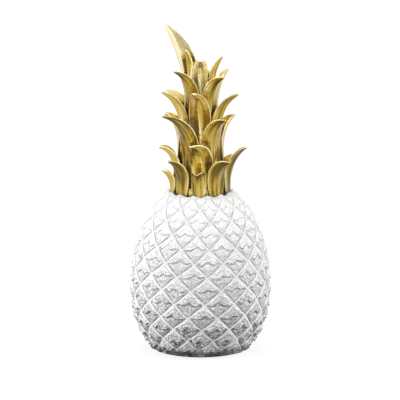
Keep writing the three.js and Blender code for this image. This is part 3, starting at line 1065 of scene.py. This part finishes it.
@dataclass(frozen=True)
class FruitCasting:
    """The hollow white fruit: a scaled skin, the crown's recess and socket, and a stepped opening below."""

    lattice: ScaleLattice = ScaleLattice()
    recess_radius: float = 23.4
    recess_level: float = 119.5
    rim_level: float = 121.8
    socket_radius: float = 8.26
    socket_level: float = 105.5
    felt_recess_radius: float = 33.3
    felt_recess_level: float = 2.3
    ledge_radius: float = 27.69
    ledge_level: float = 4.7
    opening_radius: float = 23.3
    cavity_floor: float = 8.5
    cavity_roof: float = 100.5
    wall: float = 5.0
    edge_gap: float = 0.3

    def cavity(self) -> list[Span]:
        """The cavity from its floor to its roof: a wall's width inside the skin, under a dome.

        Returns:
            Radius and level of each ring.
        """
        outline = self.lattice.outline
        relief = self.lattice.relief_share * 2.0 * math.pi / self.lattice.scales_round
        spring = self.cavity_roof - (self.cavity_roof - outline.widest_level) / 3.0
        levels = np.linspace(self.cavity_floor, spring, 9)
        inner = [(outline.radius_at(z) * (1.0 - relief) - self.wall, z) for z in levels]
        turns = np.linspace(0.0, math.pi / 2.0, 5)[1:]
        rise = self.cavity_roof - spring
        return inner + [(inner[-1][0] * math.cos(t), spring + rise * math.sin(t)) for t in turns]

    def close(self, work: BMesh, rows: list[list[BMVert]]) -> None:
        """Joins rows of points, one after the other, and closes the last one with a disc.

        Args:
            work: The mesh.
            rows: Closed rows with the same number of points, in step.
        """
        for low, high in zip(rows, rows[1:]):
            for i, start in enumerate(low):
                j = (i + 1) % len(low)
                work.faces.new((start, low[j], high[j], high[i]))
        centre = work.verts.new((0.0, 0.0, rows[-1][0].co.z))
        for i, start in enumerate(rows[-1]):
            work.faces.new((start, rows[-1][(i + 1) % len(rows[-1])], centre))

    def turned_rows(
        self, work: BMesh, loop: list[BMVert], outline: list[Span]
    ) -> list[list[BMVert]]:
        """Round rows whose points stand at the angles of a loop.

        Args:
            work: The mesh.
            loop: The loop.
            outline: Radius and level of each row, in millimetres.

        Returns:
            The rows.
        """
        angles = [turn_of(v) for v in loop]
        return [
            [work.verts.new((r * MM * math.cos(a), r * MM * math.sin(a), z * MM)) for a in angles]
            for r, z in outline
        ]

    def build(self, paint: Material) -> Object:
        """Builds the casting.

        Args:
            paint: Its finish.

        Returns:
            The piece.
        """
        mesh = self.lattice.skin_mesh(paint)
        outline = self.lattice.outline
        work = bmesh.new()
        work.from_mesh(mesh)
        bmesh.ops.remove_doubles(work, verts=work.verts, dist=0.005 * MM)
        rims = {v for e in work.edges if e.is_boundary for v in e.verts}
        middle = outline.widest_level * MM
        top = sorted((v for v in rims if v.co.z > middle), key=turn_of)
        foot = sorted((v for v in rims if v.co.z <= middle), key=turn_of)
        land = []
        for v in top:
            share = self.recess_radius * MM / math.hypot(v.co.x, v.co.y)
            level = self.rim_level * MM + (v.co.z - self.rim_level * MM) * share
            land.append(work.verts.new((v.co.x * share, v.co.y * share, level)))
        recess = stepped((self.recess_radius, self.socket_radius), (self.recess_level, self.socket_level))
        self.close(work, [top, land, *self.turned_rows(work, top, recess)])
        edge_radius = min(math.hypot(v.co.x, v.co.y) for v in foot) / MM - self.edge_gap
        radii = (edge_radius, self.felt_recess_radius, self.ledge_radius, self.opening_radius)
        levels = (outline.foot_level, self.felt_recess_level, self.ledge_level, self.cavity_floor)
        below = [*stepped(radii, levels), *self.cavity()[:-1]]
        self.close(work, [foot, *self.turned_rows(work, foot, below)])
        work.to_mesh(mesh)
        work.free()
        piece = tidy_object("fruit_casting", mesh, 55.0)
        dress(piece, paint)
        seat(piece, ["body_casting"])
        return piece


def turn_of(point: BMVert) -> float:
    """The angle of a point round the axis."""
    return math.atan2(point.co.y, point.co.x)


# Crown


@dataclass(frozen=True)
class Leaf:
    """One leaf.

    Azimuth, sweep and lean are in degrees. Reach and rise are the tip's shares of the crown's spread and
    height, and width is a share of the whorl's own.
    """

    azimuth: float
    reach: float
    rise: float
    width: float
    sweep: float
    lean: float
    blunt: float
    tip_cup: float = 0.3


@dataclass(frozen=True)
class Whorl:
    """A ring of leaves on one ledge of the stem.

    The ledge's share is of the crown's height, and the width's of the recess's radius. Each row has a leaf's
    fields in order.
    """

    name: str
    ledge_share: float
    width_share: float
    rows: Sequence[Sequence[float]]


# Painted light and shade on each leaf: how much paler its paint is than the others', or darker where the
# number is negative
LEAF_LIGHT_AND_SHADE = {
    "bract_2": -0.24, "bract_4": -0.28, "bract_5": -0.45, "low_leaf_1": 0.1, "broad_leaf_1": -0.35,
    "middle_leaf_1": 0.15, "middle_leaf_2": 0.2, "middle_leaf_4": -0.1, "upper_leaf_1": -0.15,
    "upper_leaf_2": 0.1, "upper_leaf_5": 0.5, "inner_leaf_1": 0.52,
}

WHORLS = (
    Whorl("bract", 0.065, 0.59, [
        (-80, 0.776, 0.135, 0.86, -2, 60, 0.15), (-42, 0.955, 0.221, 0.98, 0, 70, 0.1),
        (-3, 0.88, 0.145, 0.86, -2, 92, 0.9), (34, 0.98, 0.217, 1.12, 3, 82, 0.4),
        (76, 0.925, 0.276, 1.02, 5, 56, 0.15), (121, 0.84, 0.19, 1, 0, 72, 0.3),
        (158, 0.95, 0.225, 0.96, 0, 78, 0.3), (-162, 0.92, 0.2, 1, 0, 74, 0.3),
        (-122, 0.76, 0.165, 0.94, -6, 70, 0.3),
    ]),
    Whorl("low_leaf", 0.08, 0.833, [
        (6, 0.95, 0.322, 0.94, -19, 80, 0.05), (-82, 0.835, 0.273, 0.87, -2, 76, 0.1),
        (146, 0.88, 0.3, 0.95, 4, 76, 0.2), (-148, 0.88, 0.29, 0.95, -6, 78, 0.2),
    ]),
    Whorl("broad_leaf", 0.159, 0.812, [
        (-31, 1, 0.493, 0.88, -18, 72, 0.05), (33, 0.87, 0.472, 0.9, 1, 70, 0.35),
        (108, 0.745, 0.448, 0.9, 4, 62, 0.2), (177, 0.87, 0.47, 0.95, 0, 74, 0.2),
        (-116, 0.75, 0.46, 0.85, 8, 66, 0.2),
    ]),
    Whorl("middle_leaf", 0.159, 0.744, [
        (0, 0.84, 0.64, 0.97, -10, 62, 0), (-74, 0.837, 0.622, 0.86, 7, 62, 0.05),
        (-137, 0.913, 0.582, 0.88, 6, 72, 0.1), (71, 0.789, 0.604, 0.89, 1, 62, 0.1),
        (150, 0.7, 0.56, 0.86, 6, 66, 0.2),
    ]),
    Whorl("upper_leaf", 0.143, 0.6, [
        (-36, 0.79, 0.762, 0.98, -6, 66, 0.05), (36, 0.763, 0.727, 0.96, 2, 70, 0.35),
        (99.5, 0.624, 0.728, 0.78, 18, 58, 0.4), (158, 0.7, 0.706, 0.74, 0, 66, 0.2),
        (-126, 0.77, 0.997, 1.45, 12, 26, 0.15, 0.55),
    ]),
    Whorl("inner_leaf", 0.115, 0.513, [
        (0, 0.5, 0.822, 0.92, 0, 50, 1), (-69, 0.345, 0.872, 0.71, 12, 24, 0.05),
        (68, 0.463, 0.831, 0.66, 0, 36, 0.4), (176, 0.34, 0.754, 0.8, 0, 40, 0.2),
        (-124, 0.28, 0.722, 0.64, 0, 34, 0.2),
    ]),
)


@dataclass(frozen=True)
class Ledge:
    """Where a whorl stands on the stem."""

    level: float
    stem_radius: float
    bed_radius: float


@dataclass(frozen=True)
class LeafBlade:
    """The shape that all leaves share: a channel with a keel, flutes along it and a rounded rim.

    Places along a leaf run from 0 at its root to 1 at its tip, and places across it from -1 to 1.
    """

    PLACE = "leaf_place"
    SHADE = "leaf_shade"

    shoulder_level: float = 123.0
    crown_height: float = 126.0
    crown_spread: float = 38.0
    recess_radius: float = 23.4
    seat_gap: float = 0.3
    thickness: float = 2.2
    edge_thickness: float = 1.21
    tip_thickness_share: float = 0.55
    widest_place: float = 0.45
    narrowest: float = 0.07
    root_handle: float = 0.34
    tip_handle: float = 0.42
    tip_crowding: float = 1.5
    tip_start: float = 0.975
    tip_run: float = 0.0252
    root_cup: float = 0.2
    keel_power: float = 1.3
    rim_width: float = 0.12
    bead: float = 0.25
    bead_place: float = 0.93
    bead_width: float = 0.045
    flute: float = 0.36
    flute_waves: tuple[float, ...] = (4.0, 8.0, 15.0)
    steps_along: int = 56
    steps_across: int = 24
    tenon_width: float = 4.56
    tenon_height: float = 5.0
    tenon_lift: float = 2.0
    tenon_depth_share: float = 0.26

    def width_share(self, along: Array, blunt: float) -> Array:
        """The width along a leaf.

        Args:
            along: Places from root to tip.
            blunt: The leaf's bluntness.

        Returns:
            The width as a share of the widest.
        """
        widest = self.widest_place
        low = 0.7 + 0.3 * np.sin(math.pi / 2.0 * np.minimum(along / widest, 1.0))
        gone = unit((along - widest) / (1.0 - widest))
        taper = (1.0 - gone ** (2.1 + blunt)) ** (0.85 - 0.4 * blunt)
        high = np.maximum(taper, self.narrowest * (1.0 + 2.0 * blunt))
        return np.where(along < widest, low, high)

    def spine(self, leaf: Leaf, ledge: Ledge, along: Array) -> tuple[Array, Array]:
        """The leaf's curve in its own upright plane.

        Args:
            leaf: The leaf.
            ledge: Where it stands.
            along: Places from root to tip.

        Returns:
            Radius and level, and the unit tangent, at each place.
        """
        lean = math.radians(leaf.lean)
        foot = np.array((ledge.bed_radius, ledge.level + self.seat_gap))
        tip = np.array((leaf.reach * self.crown_spread, self.shoulder_level + leaf.rise * self.crown_height))
        handle = min(self.tip_handle * np.linalg.norm(tip - foot), (tip[0] - foot[0]) / math.sin(lean))
        first = foot + np.array((0.0, self.root_handle * (tip[1] - foot[1])))
        second = tip - handle * np.array((math.sin(lean), math.cos(lean)))
        t = along[:, None]
        place = (1 - t) ** 3 * foot + 3 * (1 - t) ** 2 * t * first + 3 * (1 - t) * t**2 * second + t**3 * tip
        slope = (1 - t) ** 2 * (first - foot) + 2 * (1 - t) * t * (second - first) + t**2 * (tip - second)
        return place, slope / np.linalg.norm(slope, axis=1, keepdims=True)

    def flutes(self, along: Array, c: Array, seed: int) -> Array:
        """The flutes on the outer face, which fade out at the root, the tip and the rims.

        Args:
            along: Places from root to tip.
            c: A row of places across.
            seed: Picks their sizes and places.

        Returns:
            How far the face is raised, in millimetres.
        """
        draw = random.Random(seed)
        waves = 0.0
        for wave in self.flute_waves:
            height = draw.uniform(2.0, 4.0) / wave
            turn = wave * c + draw.uniform(0.0, 6.3) + draw.uniform(-1.0, 1.0) * along[:, None]
            waves = waves + height * np.cos(turn)
        return self.flute * waves * np.sin(math.pi * along)[:, None] * (1.0 - np.abs(c) ** 4)

    def faces_of(self, leaf: Leaf, whorl_share: float, ledge: Ledge, seed: int) -> tuple[Array, Array]:
        """The outer and the inner face of a leaf.

        Args:
            leaf: The leaf.
            whorl_share: The width share of its whorl.
            ledge: Where it stands.
            seed: Picks its flutes.

        Returns:
            Points of the two faces, and the place along and across of each point.
        """
        even = np.linspace(0.0, 1.0, self.steps_along + 1)
        along = 1.0 - (1.0 - even) ** self.tip_crowding
        across = np.sin(math.pi / 2.0 * np.linspace(-1.0, 1.0, self.steps_across + 1))
        place, tangent = self.spine(leaf, ledge, along)
        angle = np.radians(FRONT + leaf.azimuth + leaf.sweep * along**2)
        out = np.stack((np.cos(angle), np.sin(angle), np.zeros_like(angle)), axis=1)
        side = np.stack((-np.sin(angle), np.cos(angle), np.zeros_like(angle)), axis=1)
        normal = out * tangent[:, 1:] + np.array((0.0, 0.0, -1.0)) * tangent[:, :1]
        centre = out * place[:, :1] + np.array((0.0, 0.0, 1.0)) * place[:, 1:]
        tip_round = np.sqrt(unit(1.0 - (unit(along - self.tip_start) / self.tip_run) ** 2))
        full = self.recess_radius * whorl_share * leaf.width * self.width_share(along, leaf.blunt)
        half = full / 2.0 * tip_round
        c, s = across[None, :], half[:, None]
        wrapped = place[:, :1] - np.sqrt(np.maximum(ledge.bed_radius**2 - (c * s) ** 2, 0.0))
        cup = self.root_cup + (leaf.tip_cup - self.root_cup) * along[:, None]
        bed = np.minimum(wrapped, 2.0 * s * cup * np.abs(c) ** self.keel_power)
        thin = 1.0 - (1.0 - self.tip_thickness_share) * along[:, None] ** 2
        swelling = (self.thickness - self.edge_thickness) * (1.0 - np.abs(c)) ** 0.7
        depth = (self.edge_thickness + swelling) * thin * np.minimum(1.0, 0.25 + tip_round[:, None])
        into_rim = np.clip(np.abs(c) - (1.0 - self.rim_width), 0.0, self.rim_width) / self.rim_width
        rounding = np.sqrt(1.0 - into_rim**2)
        bead = self.bead * bell(np.abs(c) - self.bead_place, self.bead_width)
        bead = bead * np.sin(math.pi * np.sqrt(along))[:, None]
        middle = bed - depth / 2.0
        outer = middle - (depth / 2.0 + bead) * rounding - self.flutes(along, c, seed) * rounding
        inner = middle + (depth / 2.0 + bead * 0.5) * rounding
        base = centre[:, None, :] + side[:, None, :] * (c * s)[:, :, None]
        points = np.stack([base - normal[:, None, :] * face[:, :, None] for face in (outer, inner)])
        places = np.stack(np.meshgrid(along, across, indexing="ij"), axis=-1)
        return points, np.broadcast_to(places, (2, *places.shape))

    def tenon(self, leaf: Leaf, ledge: Ledge) -> Array:
        """The corners of the block that a leaf's root holds it by.

        Args:
            leaf: The leaf.
            ledge: Where it stands.

        Returns:
            Its eight corners in millimetres.
        """
        inner = ledge.stem_radius * (1.0 - self.tenon_depth_share)
        low = ledge.level + self.tenon_lift + self.seat_gap
        angle = math.radians(FRONT + leaf.azimuth)
        out = np.array((math.cos(angle), math.sin(angle), 0))
        side = np.array((-math.sin(angle), math.cos(angle), 0))
        corners = [
            out * r + side * w + np.array((0, 0, z))
            for r in (inner, ledge.bed_radius + self.edge_thickness / 2.0)
            for w in (-self.tenon_width / 2.0, self.tenon_width / 2.0)
            for z in (low, low + self.tenon_height)
        ]
        return np.array(corners)

    def piece(self, name: str, leaf: Leaf, whorl_share: float, ledge: Ledge, seed: int) -> Object:
        """Builds a leaf.

        Args:
            name: The piece's name.
            leaf: The leaf.
            whorl_share: The width share of its whorl.
            ledge: Where it stands.
            seed: Picks its flutes and its strokes of paint.

        Returns:
            The piece.
        """
        points, places = self.faces_of(leaf, whorl_share, ledge, seed)
        number = np.arange(points.size // 3).reshape(points.shape[:3])
        quads = []
        for sheet in (*number, number[:, 0], number[:, -1]):
            quads += quads_of(sheet)
        block = number.size
        sides = ((0, 1, 3, 2), (4, 5, 7, 6), (0, 1, 5, 4), (2, 3, 7, 6), (0, 2, 6, 4), (1, 3, 7, 5))
        quads += [[block + i for i in side] for side in sides]
        corners = np.concatenate((points.reshape(-1, 3), self.tenon(leaf, ledge))) * MM
        held = np.zeros((len(corners), 3), np.float32)
        held[:, 2] = seed
        held[block // 2 : block, 2] += 0.5
        held[:block, 0] = places[..., 1].reshape(-1)
        held[:block, 1] = places[..., 0].reshape(-1)
        shade = np.full(len(corners), LEAF_LIGHT_AND_SHADE.get(name.removeprefix("gilded_"), 0.0))
        mesh = mesh_of(name, corners.tolist(), quads, {self.PLACE: held, self.SHADE: shade})
        return tidy_object(name, mesh, 70.0)


@dataclass(frozen=True)
class Crown:
    """Six whorls of gilded leaves on a stepped stem."""

    blade: LeafBlade = LeafBlade()
    stem_foot: float = 119.8
    foot_radius: float = 20.6
    whorl_step: float = 2.5

    def ledges(self) -> list[Ledge]:
        """Where each whorl stands.

        Returns:
            The ledges, from the lowest.
        """
        found, level = [], self.stem_foot
        for step, ring in enumerate(WHORLS):
            radius = self.foot_radius - step * self.whorl_step
            found.append(Ledge(level, radius, radius + self.blade.seat_gap))
            level += ring.ledge_share * self.blade.crown_height
        return found

    def build(self, paint: Material) -> list[Object]:
        """Builds the leaves.

        Args:
            paint: Their finish.

        Returns:
            The pieces.
        """
        pieces = []
        for ring, ledge in zip(WHORLS, self.ledges()):
            for number, row in enumerate(ring.rows, 1):
                node = f"{ring.name}_{number}"
                seed = len(pieces) + 1
                piece = self.blade.piece(f"gilded_{node}", Leaf(*row), ring.width_share, ledge, seed)
                dress(piece, paint)
                seat(piece, [node])
                pieces.append(piece)
        return pieces


@dataclass(frozen=True)
class Foot:
    """The felt disc that the figurine stands on."""

    radius: float = 33.0
    height: float = 2.0
    rounding: float = 0.5
    sides: int = 160

    def build(self, felt: Material) -> Object:
        """Builds the felt disc.

        Args:
            felt: Its finish.

        Returns:
            The piece.
        """
        turns = np.linspace(0.0, math.pi / 2.0, 5)
        inner = self.radius - self.rounding
        low = [(inner + self.rounding * math.sin(t), self.rounding * (1.0 - math.cos(t))) for t in turns]
        high = [(r, self.height - z) for r, z in reversed(low)]
        piece = turned_object("felt_disc", [(0.0, 0.0), *low, *high, (0.0, self.height)], self.sides)
        dress(piece, felt)
        seat(piece, ["base_felt"])
        return piece


# Studio


@dataclass(frozen=True)
class Studio:
    """A pale floor, soft lamps and a long lens a little above the figurine.

    Lengths are in metres. Each lamp has a name, a place, a width and height, and a power in watts.
    """

    LAMPS = (
        ("key_lamp", (-1.8, -0.9, 1.0), (0.9, 1.7), 27.0),
        ("side_lamp", (1.7, -0.4, 0.9), (0.7, 1.5), 20.0),
        ("top_lamp", (0.0, -0.3, 2.0), (1.6, 1.2), 6.0),
    )

    elevation: float = 12.0
    distance: float = 4.0
    frame_width: float = 0.304
    target: tuple[float, float, float] = (-0.00038, 0.0, 0.1152)
    floor_size: float = 12.0
    floor_grey: float = 0.38
    paper_grey: float = 0.9
    paper_share: float = 0.2
    paper_glow: float = 1.05
    room_light: float = 0.4
    side_light: float = 0.45
    top_light: float = 0.3
    back_light: float = 0.25

    def camera(self) -> None:
        """Makes the camera."""
        data = bpy.data.cameras.new("camera")
        data.lens = data.sensor_width * self.distance / self.frame_width
        data.clip_end = 100.0
        camera = placed("camera", data)
        tilt = math.radians(self.elevation)
        back = Vector((0.0, -math.cos(tilt), math.sin(tilt)))
        camera.location = Vector(self.target) + back * self.distance
        camera.rotation_euler = (math.pi / 2.0 - tilt, 0.0, 0.0)
        bpy.context.scene.camera = camera

    def floor(self) -> None:
        """Makes the floor, which is white to the eye and in reflections, and grey to scattered light."""
        half = self.floor_size / 2.0
        corners = [(-half, -half, 0), (half, -half, 0), (half, half, 0), (-half, half, 0)]
        floor = placed("floor", mesh_of("floor", corners, [(0, 1, 2, 3)]))
        material = bpy.data.materials.new("floor_paper")
        material.use_nodes = True
        material.node_tree.nodes.clear()
        bench = Bench(material.node_tree)
        path = bench.add("ShaderNodeLightPath").outputs
        camera, glossy, through = (path[f"Is {kind} Ray"] for kind in ("Camera", "Glossy", "Transmission"))
        shown = bench.math("MAXIMUM", bench.math("MAXIMUM", camera, glossy), through)
        greys = (self.floor_grey, self.paper_grey)
        grey, paper = (bench.run("ShaderNodeBsdfDiffuse", Color=(c, c, c, 1.0)) for c in greys)
        glow = bench.run("ShaderNodeEmission", Color=(1.0, 1.0, 1.0, 1.0), Strength=self.paper_glow)
        white = bench.fill(bench.add("ShaderNodeMixShader"), self.paper_share, glow, paper)
        surface = bench.fill(bench.add("ShaderNodeMixShader"), shown, grey, white)
        bench.feed(bench.add("ShaderNodeOutputMaterial").inputs["Surface"], surface)
        dress(floor, material)

    def lamp(self, name: str, place: Sequence[float], size: Span, power: float) -> None:
        """Makes a soft lamp that looks at the figurine.

        Args:
            name: Its name.
            place: Where it is.
            size: Its width and height.
            power: Its power, in watts.
        """
        data = bpy.data.lights.new(name, "AREA")
        data.shape = "RECTANGLE"
        data.size, data.size_y = size
        data.energy = power
        lamp = placed(name, data)
        lamp.location = place
        lamp.rotation_euler = (Vector(place) - Vector(self.target)).to_track_quat("Z", "Y").to_euler()

    def world(self) -> None:
        """Makes the plain light of the room, brighter overhead, behind and to both sides."""
        world = bpy.data.worlds.new("room")
        world.use_nodes = True
        world.node_tree.nodes.clear()
        bench = Bench(world.node_tree)
        sideways, depth, height = bench.split(bench.add("ShaderNodeTexCoord").outputs["Generated"])
        side = sideways.size().step(0.3, 0.95) * (self.side_light - sideways * 0.3)
        level = self.room_light + side + height.step(0.0, 0.9) * self.top_light
        level = level + depth.step(-0.2, 0.8) * (self.back_light - sideways * 0.2)
        glow = bench.run("ShaderNodeBackground", Color=bench.combine(level, level, level), Strength=1.0)
        bench.feed(bench.add("ShaderNodeOutputWorld").inputs["Surface"], glow)
        bpy.context.scene.world = world

    def build(self) -> None:
        """Sets up the camera, the floor and the light."""
        bpy.context.scene.view_settings.view_transform = "Standard"
        self.camera()
        self.floor()
        self.world()
        for lamp in self.LAMPS:
            self.lamp(*lamp)


def main() -> None:
    """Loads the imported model, dresses it and sets up the studio."""
    logging.basicConfig(level=logging.INFO, format="%(message)s")
    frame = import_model()
    Studio().build()
    FruitCasting().build(WhitePaint().make("white_paint"))
    Crown().build(GoldPaint(Grain.ALONG_LEAF).make("gold_paint"))
    Foot().build(WoolFelt().make("wool_felt"))
    inner = {
        "crown_stem": GoldPaint(Grain.ROUND_STEM).make("stem_gold"),
        "base_plug": BareResin().make("bare_resin"),
        "crown_rod": DrawnSteel().make("drawn_steel"),
    }
    for node, material in inner.items():
        dress(frame["nodes"][node], material)
        LOG.info("%s: packed node with %s", node, material.name)


if __name__ == "__main__":
    main()
